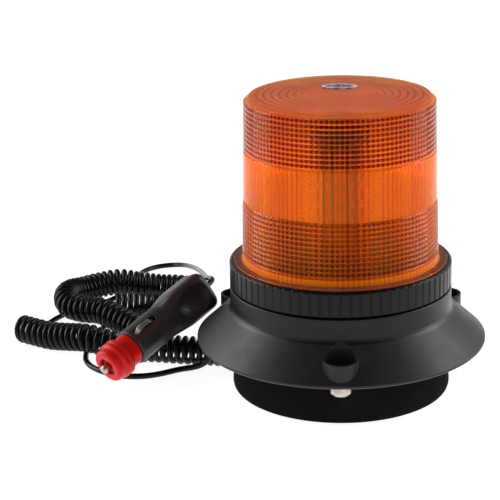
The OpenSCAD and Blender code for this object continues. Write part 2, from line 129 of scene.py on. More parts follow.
# The same points as in the CAD source, from the gland to the plug
GLAND_EXIT = Vector((-62.598, 8.798, 25.807)) * MM
GLAND_DIR = Vector((-0.6365, 0.0895, -0.7660))
BASE_ROUTE = [GLAND_EXIT, GLAND_EXIT + STRAIGHT_OUT * GLAND_DIR] + metres([
    (-67, 9.8, 16), (-69.5, 11.2, 9), (-74, 13.2, 3.6), (-79.5, 14.6, 1.6), (-84.5, 13.6, 1.6),
    (-89.5, 10.6, 1.6), (-95.5, 6.2, 1.6), (-102, 3.2, 1.6), (-109, 2, 1.6), (-115.5, 2.4, 1.6),
    (-122.5, 5, 1.6), (-129.5, 9.8, 1.6), (-136, 16.5, 1.6), (-140, 25.5, 1.6), (-141.2, 36, 1.6),
    (-141.5, 48, 1.6), (-140, 60, 1.6), (-138, 72, 1.6), (-135, 84, 1.6)])
FAR_ROUTE = metres([
    (-132, 95, 8), (-118, 95, 8), (-106, 95.5, 8), (-96, 97.5, 8), (-88, 103, 8),
    (-85, 112, 8), (-88, 121, 8), (-97, 127, 8), (-109, 128.5, 8), (-122, 128.5, 9.6),
    (-134, 128, 11.6), (-146, 125, 10.4), (-155.5, 118, 10), (-161, 109, 11.4),
    (-161.5, 99, 11.6), (-158, 90, 10.2), (-149, 82.5, 10.4), (-138, 76.5, 11.6),
    (-127, 68.5, 9.8), (-117, 60, 8), (-108, 51, 8)])
LINK_ROUTE = metres([
    (-101, 54.5, 1.6), (-94.5, 51, 1.6), (-88, 43, 1.6), (-80, 38.5, 1.6),
    (-73, 37, 1.6), (-67.5, 32, 1.6), (-64.5, 26.5, 1.6)])
NEAR_ROUTE = metres([
    (-66, 21.5, 8), (-78, 23, 8), (-90, 25, 8), (-102, 27, 8), (-114, 28, 8),
    (-127, 29.5, 9.6), (-139, 33, 11.6), (-151, 39.5, 9.8), (-162, 46, 8), (-172, 52, 8),
    (-180.5, 57.5, 8)])
PLUG_ROUTE = metres([
    (-171, 81, 1.6), (-167, 92, 1.6),
    (-160, 103, 1.6), (-151, 111, 1.6), (-142, 119, 1.6), (-136, 128, 1.6), (-132.5, 140, 1.6),
    (-130.5, 153, 1.6), (-128.5, 166, 1.6), (-125.8, 177, 1.6), (-121, 184, 1.6),
    (-114, 188.5, 1.6), (-106, 189, 2), (-99.9, 182, 4.1), (-95.2, 170, 7.4), (-90.9, 155, 11.5),
    (-86.7, 137, 16.2), (-83.2, 118, 21.4), (-80, 99, 26.3), (-77.4, 82, 30.5),
    (-75.2, 68, 34.3), (-73, 61.5, 36.6), (-71.3, 55.8, 38.2), (-70.6, 52.5, 39),
    (-70.7, 49.6, 39.2)])


# ---------------------------------------------------------------- plug frame

# Along the plug from its tip: the middle of the cap's flange, and the rear end of the strain relief
CAP_MID = 8.3 * MM
RELIEF_END = 79 * MM
barrel = next(m for m in frame["record"]["mounts"] if m["name"] == "plug_barrel")
PLUG_DIR = -Vector(barrel["axis"]).normalized()
PLUG_TIP = Vector(barrel["pos_m"]) - CAP_MID * PLUG_DIR
PLUG_EXIT = PLUG_TIP + RELIEF_END * PLUG_DIR
plug_yaw = math.atan2(PLUG_DIR.y, PLUG_DIR.x)
plug_tilt = math.asin(PLUG_DIR.z)
IN_PLUG = (Matrix.Translation(PLUG_TIP) @ Matrix.Rotation(plug_yaw, 4, "Z")
           @ Matrix.Rotation(-plug_tilt, 4, "Y"))
ALONG_PLUG = IN_PLUG @ Matrix.Rotation(math.radians(90), 4, "Y")
# How far the contacts and the flat side of the grip are turned round the plug's axis, in degrees
CONTACT_ROLL = 22
GRIP_ROLL = 63


def rolled(degrees):
    """The plug's frame, turned round its axis."""
    return IN_PLUG @ Matrix.Rotation(math.radians(degrees), 4, "X")


# ---------------------------------------------------------------- cord mesh

def smooth_line(points, step):
    """Points about step apart on the Catmull-Rom curve through the route's points."""
    ends = [2 * points[0] - points[1]] + points + [2 * points[-1] - points[-2]]
    line = []
    for a, b, c, d in zip(ends, ends[1:], ends[2:], ends[3:]):
        count = max(2, round((c - b).length / step))
        for k in range(count):
            t = k / count
            line.append(0.5 * (2 * b + (c - a) * t + (2 * a - 5 * b + 4 * c - d) * t * t
                               + (3 * b - a - 3 * c + d) * t ** 3))
    return line + [points[-1]]


def helix(route, turns, pitch_at):
    """A right-handed helix round the route, that starts at the bottom of the coil. pitch_at says how wide the
    pitch is at a share of the route."""
    line = smooth_line(route, 0.5 * MM)
    spans = [(b - a).length / pitch_at(i / len(line)) for i, (a, b) in enumerate(zip(line, line[1:]))]
    along = [0.0]
    for s in spans:
        along.append(along[-1] + s)
    points = []
    count = round(turns * POINTS_PER_TURN)
    i = 0
    for k in range(count + 1):
        want = along[-1] * k / count
        while i < len(along) - 2 and along[i + 1] < want:
            i += 1
        t = (want - along[i]) / (along[i + 1] - along[i])
        centre = line[i].lerp(line[i + 1], t)
        before, after = line[max(i - TANGENT_REACH, 0)], line[min(i + TANGENT_REACH, len(line) - 1)]
        tangent = (after - before).normalized()
        side = Vector((-tangent.y, tangent.x, 0)).normalized()
        up = tangent.cross(side)
        turn = TAU * turns * k / count
        turned = HELIX_R * (side * math.sin(turn) - up * math.cos(turn))
        points.append(centre + turned + Vector((0, 0, COIL_LIFT)))
    return points


def plain(points):
    """The cable laid along the points, with its corners eased off and its ends kept."""
    line = []
    for a, b in zip(points, points[1:]):
        count = max(1, round((b - a).length / MM))
        line += [a.lerp(b, k / count) for k in range(count)]
    line.append(points[-1])
    for _ in range(EASING_ROUNDS):
        eased = [(a + 2 * b + c) / 4 for a, b, c in zip(line, line[1:], line[2:])]
        line = [line[0]] + eased + [line[-1]]
    return line[:-1:2] + [line[-1]]


def even_pitch(share):
    return 1.0


def far_pitch(share):
    return 1.0 + WIDER * clamp((share - LOWER_LEG) / WIDENING)


def drop(last):
    """The quarter circle from the side of the coil down to the ground, and the direction that it ends in."""
    out = (last - NEAR_ROUTE[-1]).normalized()
    angles = [math.radians(90 * k / DROP_STEPS) for k in range(1, DROP_STEPS + 1)]
    down = [last + HELIX_R * ((1 - math.cos(a)) * out - Vector((0, 0, math.sin(a)))) for a in angles]
    return down, out


def cord_line():
    """The cord's centre line from the gland through both coiled stretches to the plug."""
    far = helix(FAR_ROUTE, FAR_TURNS, far_pitch)
    near = helix(NEAR_ROUTE, NEAR_TURNS, even_pitch)
    down, out = drop(near[-1])
    line = plain(BASE_ROUTE + [far[0]])[:-1] + far
    line += plain([far[-1]] + LINK_ROUTE + [near[0]])[1:-1] + near + down
    line += plain([down[-1], down[-1] + STRAIGHT_OUT * out] + PLUG_ROUTE
                  + [PLUG_EXIT + STRAIGHT_IN * PLUG_DIR, PLUG_EXIT])[1:]
    return line


def length_of(line):
    return sum((b - a).length for a, b in zip(line, line[1:]))


def make_cord():
    """The cord as a round-section curve. Each point's radius is the cable's, so its bounding box is true."""
    line = cord_line()
    curve = bpy.data.curves.new("curly_cord", "CURVE")
    curve.dimensions = "3D"
    curve.bevel_depth = 1
    curve.bevel_resolution = 3
    curve.use_fill_caps = True
    spline = curve.splines.new("POLY")
    spline.points.add(len(line) - 1)
    for point, place in zip(spline.points, line):
        point.co = (*place, 1)
        point.radius = CABLE_R
    spline.use_smooth = True
    cord = bpy.data.objects.new("curly_cord", curve)
    bpy.context.scene.collection.objects.link(cord)
    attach(cord, "root")
    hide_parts("cord_base_tail", "cord_coil_far", "cord_link", "cord_coil_near", "cord_plug_tail")
    return cord, length_of(line)


cord, cord_length = make_cord()


# ---------------------------------------------------------------- material nodes

BUMP_DISTANCE = 0.1 * MM


class Tree:
    """A material, and short names for making its nodes."""

    def __init__(self, name):
        self.material = bpy.data.materials.new(name)
        self.material.use_nodes = True
        self.nodes = self.material.node_tree.nodes
        self.links = self.material.node_tree.links
        self.shader = self.nodes["Principled BSDF"]
        self.place = self.add("ShaderNodeTexCoord").outputs["Object"]

    def add(self, kind, **settings):
        node = self.nodes.new(kind)
        for key, value in settings.items():
            setattr(node, key, value)
        return node

    def put(self, value, socket):
        if isinstance(value, bpy.types.NodeSocket):
            self.links.new(value, socket)
        else:
            socket.default_value = value

    def set(self, **values):
        """Values or sockets for the shader, by its inputs' names with _ for a space."""
        for key, value in values.items():
            self.put(value, self.shader.inputs[key.replace("_", " ")])

    def math(self, operation, a, b=0.0, limited=False):
        node = self.add("ShaderNodeMath", operation=operation, use_clamp=limited)
        for value, socket in zip((a, b), node.inputs):
            self.put(value, socket)
        return node.outputs[0]

    def times(self, a, b):
        return self.math("MULTIPLY", a, b)

    def reach(self, x, y):
        """Distance from the middle, of x and y."""
        return self.math("SQRT", self.math("ADD", self.math("POWER", x, 2.0), self.math("POWER", y, 2.0)))

    def noise(self, scale, detail=4.0, rough=0.55, where=None):
        node = self.add("ShaderNodeTexNoise")
        self.put(where or self.place, node.inputs["Vector"])
        node.inputs["Scale"].default_value = scale
        node.inputs["Detail"].default_value = detail
        node.inputs["Roughness"].default_value = rough
        return node.outputs["Fac"]

    def ramp(self, value, low, high, out_low=0.0, out_high=1.0):
        """From out_low where value is low to out_high where it is high. low may be the larger number."""
        node = self.add("ShaderNodeMapRange", interpolation_type="SMOOTHSTEP")
        for v, name in ((value, "Value"), (low, "From Min"), (high, "From Max"),
                        (out_low, "To Min"), (out_high, "To Max")):
            self.put(v, node.inputs[name])
        return node.outputs["Result"]

    def band(self, value, start, full, fading, gone):
        """1 between full and fading, and 0 outside start and gone. All four are in millimetres."""
        return self.times(self.ramp(value, start * MM, full * MM), self.ramp(value, gone * MM, fading * MM))

    def mix(self, share, a, b):
        node = self.add("ShaderNodeMix", data_type="RGBA")
        for value, socket in ((share, node.inputs[0]), (a, node.inputs[6]), (b, node.inputs[7])):
            self.put(value, socket)
        return node.outputs[2]

    def split(self):
        node = self.add("ShaderNodeSeparateXYZ")
        self.put(self.place, node.inputs[0])
        return node.outputs

    def bump(self, height, strength, normal=None):
        node = self.add("ShaderNodeBump")
        self.put(height, node.inputs["Height"])
        node.inputs["Strength"].default_value = strength
        node.inputs["Distance"].default_value = BUMP_DISTANCE
        if normal is not None:
            self.links.new(normal, node.inputs["Normal"])
        return node.outputs["Normal"]

    def soft_edges(self, radius):
        """Normals that round the edges off, for highlights along them."""
        node = self.add("ShaderNodeBevel", samples=4)
        node.inputs["Radius"].default_value = radius
        return node.outputs["Normal"]


def rgb(r, g, b):
    return (r, g, b, 1.0)


def moulded_grain(t):
    return t.bump(t.noise(9000, 2, 0.7), 0.12, t.soft_edges(0.4 * MM))


def rubbed_patches(t):
    return t.ramp(t.noise(38, 5, 0.6), 0.5, 0.75)


def plastic(name, colour, lighter, roughness, shine=0.5, coat=0.0):
    """Moulded plastic: fine grain, soft blotches in the gloss and slightly paler rubbed patches."""
    t = Tree(name)
    t.set(Base_Color=t.mix(rubbed_patches(t), colour, lighter),
          Roughness=t.ramp(t.noise(120, 3), 0.3, 0.7, roughness * 0.88, roughness * 1.12),
          Normal=moulded_grain(t),
          Specular_IOR_Level=shine, Coat_Weight=coat, Coat_Roughness=0.12)
    return t.material


def housing_plastic():
    """Satin plastic on the skirt. On the upright neck above it a painted shade makes it darker, and it is a
    little glossier.
    """
    t = Tree("housing_plastic")
    x, y, z = t.split()
    above_skirt = t.ramp(z, 42.9 * MM, 43.3 * MM)
    painted_shade_neck = t.times(above_skirt, t.ramp(t.reach(x, y), 59.5 * MM, 58.5 * MM))
    skirt = t.mix(rubbed_patches(t), rgb(0.0125, 0.013, 0.0155), rgb(0.0155, 0.016, 0.0185))
    satin = t.ramp(t.noise(120, 3), 0.3, 0.7, 0.35, 0.43)
    # The neck's darker base colour is painted shade.
    t.set(Base_Color=t.mix(painted_shade_neck, skirt, rgb(0.0018, 0.0016, 0.0016)), Specular_IOR_Level=0.32,
          Roughness=t.math("ADD", satin, t.times(painted_shade_neck, -0.05)), Normal=moulded_grain(t))
    return t.material


def metal(name, colour, darker, roughness):
    """Plated metal with fine scratches along z and darker stains."""
    t = Tree(name)
    stretched = t.add("ShaderNodeMapping")
    stretched.inputs["Scale"].default_value = (1.0, 1.0, 0.08)
    t.links.new(t.place, stretched.inputs["Vector"])
    fine = t.noise(3600, 3, 0.6, stretched.outputs["Vector"])
    stains = t.ramp(t.noise(260, 4, 0.6), 0.42, 0.7)
    t.set(Base_Color=t.mix(stains, colour, darker), Metallic=1.0,
          Roughness=t.ramp(fine, 0.25, 0.75, roughness * 0.8, roughness * 1.25),
          Normal=t.bump(fine, 0.05, t.soft_edges(0.2 * MM)))
    return t.material


def rubber(name, colour, lighter, roughness):
    """Dull rubber or ferrite with a little dust on it."""
    t = Tree(name)
    dust = t.ramp(t.noise(55, 6, 0.65), 0.48, 0.72)
    t.set(Base_Color=t.mix(dust, colour, lighter),
          Roughness=t.ramp(t.noise(400, 4), 0.3, 0.7, roughness * 0.92, min(1.0, roughness * 1.08)),
          Normal=t.bump(t.noise(3500, 3, 0.6), 0.1, t.soft_edges(0.4 * MM)),
          Specular_IOR_Level=0.03, IOR=1.2)
    return t.material


def cord_jacket():
    t = Tree("cord_jacket")
    dust = t.ramp(t.noise(90, 5), 0.5, 0.72)
    t.set(Base_Color=t.mix(dust, rgb(0.002, 0.002, 0.0022), rgb(0.004, 0.004, 0.004)),
          Roughness=t.ramp(t.noise(500, 3), 0.3, 0.7, 0.2, 0.26), Specular_IOR_Level=0.2,
          Normal=t.bump(t.noise(2600, 3, 0.6), 0.06))
    return t.material


# The lens: flutes and the painted dark cells round it, and the pitch of its ridges and of the rings on its
# top
FLUTES = 104
CELLS = 122
RIDGE_PITCH = 2.45 * MM
TOP_RING_PITCH = 3.8 * MM
# Height of one of the valleys between the ridges
VALLEY_AT = 74.5 * MM
# Where the lens's zones start, are full, start to fade and are gone: heights, and the flange's distance out
HIGH_RIDGES = (127.6, 128, 152.6, 153.2)
LOW_RIDGES = (73.3, 73.8, 101.2, 101.8)
FOOT = (70.1, 70.4, 72.8, 73.5)
# The top edge's band is where a pale highlight is painted.
TOP_EDGE_HIGHLIGHT = (152.6, 153.2, 154.6, 155.1)
FLANGE = (51.2, 51.5, 54.4, 54.7)


def flat_place(t, x, y, scale):
    """The object's place with its height left out, for streaks that run up and down."""
    flat = t.add("ShaderNodeCombineXYZ")
    t.links.new(x, flat.inputs[0])
    t.links.new(y, flat.inputs[1])
    scaled = t.add("ShaderNodeVectorMath", operation="SCALE")
    t.links.new(flat.outputs[0], scaled.inputs[0])
    scaled.inputs["Scale"].default_value = scale
    return scaled.outputs[0]


def clear_to_lamps(t, colour):
    """Shadow rays go through the shader, tinted, so that the plastic doesn't darken what it covers."""
    see_through = t.add("ShaderNodeBsdfTransparent")
    t.links.new(colour, see_through.inputs["Color"])
    chosen = t.add("ShaderNodeMixShader")
    t.links.new(t.add("ShaderNodeLightPath").outputs["Is Shadow Ray"], chosen.inputs["Fac"])
    t.links.new(t.shader.outputs[0], chosen.inputs[1])
    t.links.new(see_through.outputs[0], chosen.inputs[2])
    t.links.new(chosen.outputs[0], t.nodes["Material Output"].inputs["Surface"])


def amber():
    """Tinted clear plastic. The dark cells of its ridged bands are painted shade, for the light that they
    trap.
    """
    t = Tree("amber_plastic")
    x, y, z = t.split()
    out = t.reach(x, y)
    across = t.math("COSINE", t.times(t.math("ARCTAN2", y, x), float(CELLS)))
    upward = t.math("COSINE", t.times(t.math("SUBTRACT", z, VALLEY_AT), TAU / RIDGE_PITCH))
    streaks = t.noise(1.1, 3, 0.6, flat_place(t, x, y, 40))
    high, low = t.band(z, *HIGH_RIDGES), t.band(z, *LOW_RIDGES)
    foot = t.band(z, *FOOT)
    on_top = t.ramp(z, 154.5 * MM, 154.9 * MM)

    # Painted shade: dark squares in the upper band, smaller and patchy ones in the lower band, and upright
    # slits
    patchy = t.ramp(t.noise(55, 3), 0.35, 0.6, 0.45, 0.95)
    big = t.times(t.ramp(across, -0.62, -0.45), t.ramp(upward, 0.62, 0.45))
    small = t.times(t.ramp(across, -0.25, 0.0), t.ramp(upward, 0.45, 0.2))
    cells = t.math("ADD", t.times(big, high), t.times(t.times(small, low), patchy), limited=True)
    slits = t.times(t.ramp(across, 0.86, 0.98), t.ramp(streaks, 0.4, 0.5))
    on_wall = t.ramp(out, 47.8 * MM, 48.1 * MM)
    painted_shade_marks = t.times(t.math("MAXIMUM", cells, t.times(slits, 0.75)), on_wall)

    # Red along the ridges, and dotted rings on the top: the dark rings are painted shade for the grooves
    # under the top, and their dots a painted reflection of the flutes
    bands = t.math("ADD", high, t.times(low, 0.8), limited=True)
    rows = t.times(bands, t.ramp(upward, 0.1, -0.6))
    ringed_area = t.times(on_top, t.ramp(out, 45 * MM, 43 * MM))
    rings = t.times(t.ramp(t.math("COSINE", t.times(out, TAU / TOP_RING_PITCH)), 0.1, 0.8), ringed_area)
    painted_reflection_dots = t.times(t.ramp(across, -0.3, 0.3, 0.45, 1.0), t.ramp(out, 14 * MM, 30 * MM, 0.35, 1.0))

    colour = t.mix(t.ramp(streaks, 0.35, 0.65), rgb(1.0, 0.4, 0.02), rgb(0.95, 0.27, 0.008))
    colour = t.mix(foot, colour, rgb(1.0, 0.24, 0.008))
    colour = t.mix(t.times(rows, 0.9), colour, rgb(0.42, 0.02, 0.001))
    # Painted shade of the grooves under the top, dotted by the painted reflection of the flutes.
    colour = t.mix(t.times(t.times(rings, painted_reflection_dots), 0.9), colour, rgb(0.2, 0.022, 0.002))
    colour = t.mix(t.band(out, *FLANGE), colour, rgb(0.46, 0.29, 0.25))
    # Painted highlight: the top edge paler all round.
    colour = t.mix(t.times(t.band(z, *TOP_EDGE_HIGHLIGHT), 0.55), colour, rgb(0.95, 0.5, 0.3))
    # The painted shade of the cells and slits goes into the colour here.
    colour = t.mix(t.times(painted_shade_marks, 0.88), colour, rgb(0.03, 0.0015, 0.0004))

    clearness = t.ramp(foot, 0.0, 1.0, 0.8, 0.3)
    hazy_top = t.times(on_top, t.ramp(out, 47.5 * MM, 46.5 * MM))
    rough = t.math("ADD", t.ramp(t.noise(300, 3), 0.3, 0.7, 0.03, 0.08), t.times(hazy_top, 0.1))
    t.set(Base_Color=colour, Transmission_Weight=clearness, IOR=1.22, Specular_IOR_Level=0.03,
          Roughness=rough, Normal=t.bump(t.noise(800, 2), 0.02))
    clear_to_lamps(t, colour)
    return t.material


def label_print():
    """A plain oval plate: pale rim, blue-grey field with soft printed blotches that say nothing."""
    t = Tree("label_print")
    x, y, _ = t.split()
    half_length, half_width, middle_y = 9.6 * MM, 5.35 * MM, 16.5 * MM
    far = t.reach(t.math("DIVIDE", x, half_length),
                  t.math("DIVIDE", t.math("SUBTRACT", y, middle_y), half_width))
    rim = t.times(t.ramp(far, 0.74, 0.78), t.ramp(far, 0.96, 0.92))
    blotches = t.ramp(t.noise(620, 2, 0.5), 0.5, 0.56)
    field = t.mix(blotches, rgb(0.03, 0.055, 0.1), rgb(0.5, 0.56, 0.64))
    t.set(Base_Color=t.mix(rim, field, rgb(0.88, 0.9, 0.93)), Roughness=0.5, Specular_IOR_Level=0.15,
          Normal=t.bump(t.noise(2500, 2), 0.05))
    return t.material


def board_mask():
    """Green solder mask with the tracks faintly showing."""
    t = Tree("board_mask")
    tracks = t.add("ShaderNodeTexBrick")
    t.links.new(t.place, tracks.inputs["Vector"])
    tracks.inputs["Scale"].default_value = 220
    on_track = t.ramp(tracks.outputs["Fac"], 0.2, 0.8)
    t.set(Base_Color=t.mix(on_track, rgb(0.012, 0.1, 0.03), rgb(0.02, 0.16, 0.05)),
          Roughness=t.ramp(t.noise(300), 0.3, 0.7, 0.28, 0.4), Coat_Weight=0.3)
    return t.material


def clear_glass():
    t = Tree("clear_glass")
    t.set(Base_Color=t.mix(t.noise(300), rgb(0.95, 0.98, 0.98), rgb(0.85, 0.93, 0.92)),
          Transmission_Weight=1.0, Roughness=0.03, IOR=1.5)
    return t.material


LOOKS = {
    "amber_lens": amber(),
    "label": label_print(),
    "ring_black": plastic("ring_plastic", rgb(0.003, 0.003, 0.0033), rgb(0.005, 0.005, 0.0054), 0.24,
                          shine=0.24),
    "housing_black": housing_plastic(),
    "deck_black": plastic("deck_plastic", rgb(0.012, 0.012, 0.013), rgb(0.02, 0.02, 0.021), 0.5),
    "rubber_black": rubber("boot_rubber", rgb(0.0085, 0.0075, 0.0077), rgb(0.012, 0.0105, 0.0107), 0.65),
    "nut_black": plastic("nut_plastic", rgb(0.014, 0.014, 0.014), rgb(0.022, 0.022, 0.022), 0.4),
    "cord_black": cord_jacket(),
    "plug_black": plastic("plug_plastic", rgb(0.024, 0.022, 0.0225), rgb(0.032, 0.0295, 0.03), 0.36,
                          coat=0.1),
    "cap_red": plastic("cap_plastic", rgb(0.68, 0.008, 0.006), rgb(0.76, 0.014, 0.009), 0.34,
                       shine=0.18, coat=0.04),
    "nose_red": plastic("nose_plastic", rgb(0.28, 0.006, 0.004), rgb(0.34, 0.01, 0.006), 0.4),
    "nickel": metal("nickel_plate", rgb(0.62, 0.57, 0.5), rgb(0.38, 0.34, 0.29), 0.26),
    "zinc_steel": metal("zinc_plate", rgb(0.5, 0.5, 0.51), rgb(0.3, 0.29, 0.28), 0.34),
    "pot_steel": metal("pot_plate", rgb(0.55, 0.56, 0.58), rgb(0.36, 0.36, 0.36), 0.36),
    "ferrite": rubber("ferrite_grey", rgb(0.06, 0.06, 0.065), rgb(0.11, 0.11, 0.11), 0.7),
    "board_green": board_mask(),
    "board_parts": plastic("part_plastic", rgb(0.018, 0.016, 0.015), rgb(0.03, 0.028, 0.026), 0.5),
    "capacitor": plastic("capacitor_sleeve", rgb(0.012, 0.02, 0.1), rgb(0.02, 0.03, 0.14), 0.3),
    "terminal_green": plastic("terminal_plastic", rgb(0.012, 0.16, 0.04), rgb(0.02, 0.2, 0.06), 0.35),
    "heat_sink_black": metal("anodised", rgb(0.05, 0.05, 0.055), rgb(0.03, 0.03, 0.032), 0.45),
    "led_board_white": plastic("led_board_mask", rgb(0.5, 0.52, 0.5), rgb(0.6, 0.6, 0.58), 0.4),
    "led_amber": plastic("led_phosphor", rgb(0.75, 0.5, 0.12), rgb(0.85, 0.62, 0.2), 0.3),
    "wire_red": plastic("wire_sleeve", rgb(0.3, 0.012, 0.01), rgb(0.36, 0.02, 0.015), 0.4),
    "fuse_glass": clear_glass(),
}
for part in frame["record"]["subparts"]:
    look = LOOKS[part["material_slot"]]
    node = NODES[part["node"]]
    node.data.materials.clear()
    node.data.materials.append(look)
cord.data.materials.append(LOOKS["cord_black"])


# ---------------------------------------------------------------- mesh helpers

def shade(mesh, degrees):
    """Smooth shading, with edges sharper than that many degrees kept crisp."""
    made = bmesh.new()
    made.from_mesh(mesh)
    bmesh.ops.recalc_face_normals(made, faces=made.faces)
    for face in made.faces:
        face.smooth = True
    for edge in made.edges:
        edge.smooth = edge.is_manifold and edge.calc_face_angle(0) < math.radians(degrees)
    made.to_mesh(mesh)
    made.free()


def piece(name, points, faces, slot, body, replaced, degrees=32, at=None):
    """A mesh piece with its look, on its body, instead of the CAD nodes that it replaces."""
    mesh = bpy.data.meshes.new(name)
    mesh.from_pydata([tuple(at @ Vector(p) if at else p) for p in points], [], faces)
    shade(mesh, degrees)
    mesh.materials.append(LOOKS[slot])
    made = bpy.data.objects.new(name, mesh)
    bpy.context.scene.collection.objects.link(made)
    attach(made, body)
    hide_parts(*replaced)
    return made


def rounded(profile, radius, steps=3):
    """A closed profile of (r, z) or (r, z, its own radius) with its corners rounded.
    A point on the axis stays."""
    out = []
    for i, corner in enumerate(profile):
        here = Vector(corner[:2])
        before, after = Vector(profile[i - 1][:2]), Vector(profile[(i + 1) % len(profile)][:2])
        r = corner[2] if len(corner) > 2 else radius
        if here.x == 0 or r == 0:
            out.append(tuple(here))
            continue
        a = here + (before - here).normalized() * min(r, (before - here).length * 0.45)
        b = here + (after - here).normalized() * min(r, (after - here).length * 0.45)
        for k in range(steps + 1):
            u = k / steps
            out.append(tuple(a * (1 - u) ** 2 + here * 2 * u * (1 - u) + b * u * u))
    return out


def lathe(profile, steps, shape=None):
    """Points and faces of a closed profile turned round the z axis.
    shape(r, z, angle) may change the radius."""
    points, rings = [], []
    for r, z in profile:
        if r < 1e-7:
            rings.append([len(points)] * steps)
            points.append((0, 0, z))
            continue
        rings.append(range(len(points), len(points) + steps))
        for k in range(steps):
            angle = TAU * k / steps
            at = shape(r, z, angle) if shape else r
            points.append((at * math.cos(angle), at * math.sin(angle), z))
    faces = []
    for low, high in zip(rings, rings[1:] + rings[:1]):
        for k in range(steps):
            corners = [low[k], low[(k + 1) % steps], high[(k + 1) % steps], high[k]]
            face = list(dict.fromkeys(corners))
            if len(face) > 2:
                faces.append(face)
    return points, faces


def mm_profile(profile):
    return [tuple(q * MM for q in p) for p in profile]


def tube_faces(rings, around):
    """Faces of a closed tube whose points come in that many rings of around points each."""
    faces = [[i * around + k, i * around + (k + 1) % around,
              (i + 1) * around + (k + 1) % around, (i + 1) * around + k]
             for i in range(rings - 1) for k in range(around)]
    last = (rings - 1) * around
    return faces + [list(range(around))[::-1], list(range(last, last + around))]


# ---------------------------------------------------------------- lens

# Heights in millimetres: the lens top, the shoulder, and the feet of the low, middle and high band
LENS_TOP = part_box("lens")[1].z / MM
SHOULDER_Z = 70
BAND3_Z = 74.5
BAND2_Z = 101.5
BAND1_Z = 128
# The wall, the room behind it for the flutes, and the outer radius at the top and at the shoulder
LENS_WALL = 2.6
FLUTE_ROOM = 0.9
R_TOP, R_LOW = 48.3, 50
# How far the lowest band stands out, and the stretch of height over which it goes back in
LOW_STEP = 0.45
STEP_HEIGHT = 5


def lens_r(z):
    """Radius of the lens wall; the lowest band stands out a little."""
    low = clamp((BAND2_Z + 1.5 - z) / STEP_HEIGHT)
    return R_LOW + (R_TOP - R_LOW) * (z - SHOULDER_Z) / (LENS_TOP - SHOULDER_Z) + LOW_STEP * low


def pillows(low, high, depth):
    """Rounded horizontal ridges with sharp valleys from low to high."""
    count = round((high - low) / (RIDGE_PITCH / MM))
    pitch = (high - low) / count
    steps = 5
    out = []
    for i in range(count):
        for k in range(steps):
            t = k / steps
            z = low + pitch * (i + t)
            out.append((lens_r(z) - depth * (1 - math.sin(math.pi * t)), z, 0))
    return out + [(lens_r(high) - depth, high, 0)]


def make_lens():
    """The amber cover: flange, shoulder, ridged, plain and ridged band, flat top, and flutes inside."""
    flange_r, flange_z, shoulder_r = 55.8, 65.4, 54.9
    groove = 0.9
    outer = [(flange_r, flange_z, 0.2), (flange_r, flange_z + 2.7, 0.4), (shoulder_r, flange_z + 2.7, 0.1),
             (shoulder_r, SHOULDER_Z, 0.5), (lens_r(SHOULDER_Z) + 0.4, SHOULDER_Z, 0.4),
             (lens_r(BAND3_Z), BAND3_Z - 0.6, 0.2)]
    outer += pillows(BAND3_Z, BAND2_Z, depth=0.6)
    outer += [(lens_r(BAND2_Z) - groove, BAND2_Z + 0.3, 0.2), (lens_r(BAND2_Z), BAND2_Z + 1.1, 0.3),
              (lens_r(115), 115, 0), (lens_r(BAND1_Z), BAND1_Z - 1.1, 0.3),
              (lens_r(BAND1_Z) - groove, BAND1_Z - 0.3, 0.2)]
    outer += pillows(BAND1_Z, LENS_TOP - 2.6, depth=0.32)
    outer += [(lens_r(LENS_TOP), LENS_TOP - 2.5, 0.3), (R_TOP - 3.1, LENS_TOP, 0.3),
              (40, LENS_TOP, 0), (20, LENS_TOP, 0), (0, LENS_TOP)]
    under = LENS_TOP - LENS_WALL
    back = LENS_WALL + FLUTE_ROOM
    inner = [(0, under), (20, under, 0), (R_TOP - back, under, 0.6)]
    inner += [(lens_r(z) - back, z, 0) for z in (150, BAND1_Z, BAND2_Z, BAND3_Z)]
    inner += [(R_LOW - back, flange_z, 0.2)]
    flute = 0.35 * MM

    def fluted(r, z, angle):
        """The inner wall's upright flutes."""
        on_inner_wall = 43 * MM < r < (lens_r(z / MM) - 2.2) * MM and z < (under - 0.3) * MM
        if not on_inner_wall:
            return r
        return r + flute * (1 - abs(math.sin(angle * FLUTES / 2)))

    points, faces = lathe(rounded(mm_profile(outer + inner), 0), FLUTES * 4, fluted)
    piece("lens_cover_shell", points, faces, "amber_lens", "lens_cover", ["lens"], degrees=28)


make_lens()


# ---------------------------------------------------------------- lock ring

def make_ring():
    """The lock ring with its upright ribs, which die out at both ends."""
    ribs, rib = 72, 0.5
    base_r, ribs_from, ribs_to = 56.7, 56.4, 69.0
    profile = rounded(mm_profile([
        (base_r - 0.4, 56), (base_r, 56.5), (base_r, 57.2, 0.1), (base_r, 68.2, 0.1), (base_r, 68.8),
        (base_r - 0.9, 69.6, 0.4), (54.95, 69.6, 0.2), (54.95, 68.2, 0), (55.85, 68.2, 0),
        (55.85, 65.0, 0), (55.0, 65.0, 0), (55.0, 56)]), 0.25 * MM, 2)

    def ribbed(r, z, angle):
        to_end = min(z - ribs_from * MM, ribs_to * MM - z)
        if r < (base_r - 0.45) * MM or to_end <= 0:
            return r
        part = (angle * ribs / TAU) % 1
        rise = clamp((min(part, 1 - part) - 0.06) / 0.07)
        return r + rib * MM * ease(rise) * clamp(to_end / (0.5 * MM))

    points, faces = lathe(profile, ribs * 14, ribbed)
    piece("grip_ring", points, faces, "ring_black", "ring", ["lock_ring"], degrees=40)


make_ring()


# ---------------------------------------------------------------- rubber boot

